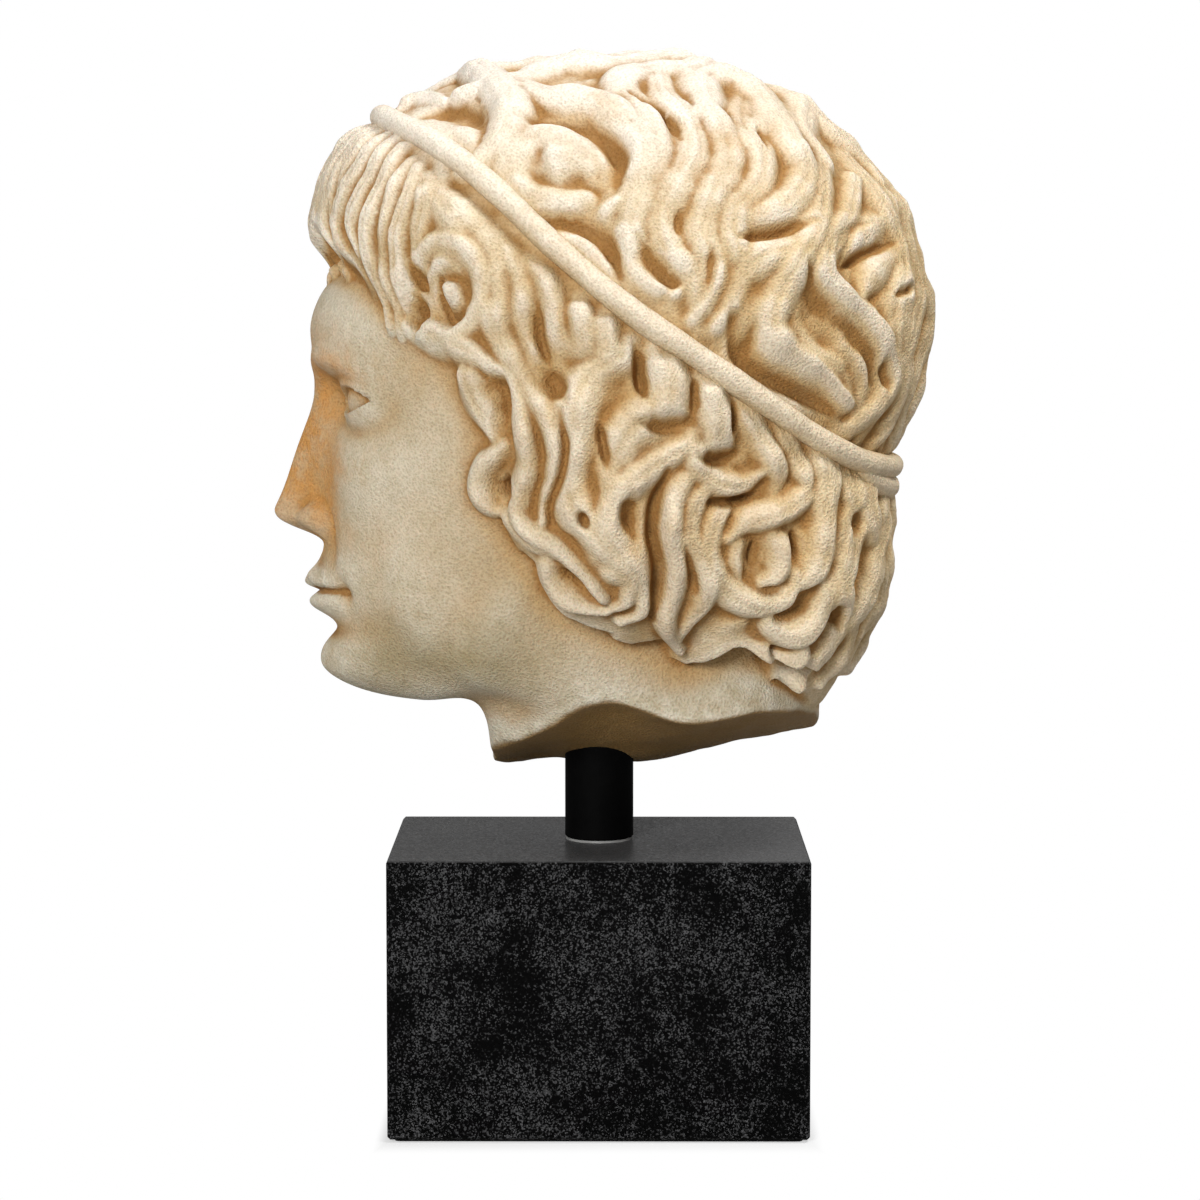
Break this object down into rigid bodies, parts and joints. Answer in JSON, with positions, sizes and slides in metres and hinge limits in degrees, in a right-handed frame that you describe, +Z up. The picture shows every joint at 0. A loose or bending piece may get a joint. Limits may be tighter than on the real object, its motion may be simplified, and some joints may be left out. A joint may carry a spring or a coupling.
{
  "type": "marble head sculpture on a stand",
  "caption": "Life-size carved marble head with wavy bound hair, broken at the neck and held by a short round steel post on a rectangular granite block.",
  "frame": {"origin": "centre of the felt's underside, on the plane that the object rests on", "axes": "+Z up, the face looks along -Y, the figure's left side is +X"},
  "size_m": [0.1858, 0.2341, 0.3879],
  "materials": {
    "marble": "matte",
    "granite": "satin",
    "black_steel": "matte",
    "zinc_steel": "satin",
    "brass": "satin",
    "clear_nylon": "satin",
    "black_plastic": "matte",
    "rubber": "matte",
    "resin": "satin",
    "felt": "matte"
  },
  "bodies": {
    "root": {"felt_base": "felt", "granite_block": "granite", "hex_nut": "zinc_steel", "spring_washer": "zinc_steel", "plate_washer": "zinc_steel", "threaded_rod": "zinc_steel", "foot_washer": "clear_nylon", "post_tube": "black_steel", "lower_centring_ring": "black_plastic", "upper_centring_ring": "black_plastic", "socket_washer": "rubber", "head_insert": "brass", "bonding_resin": "resin", "marble_head": "marble"}
  },
  "joints": []
}
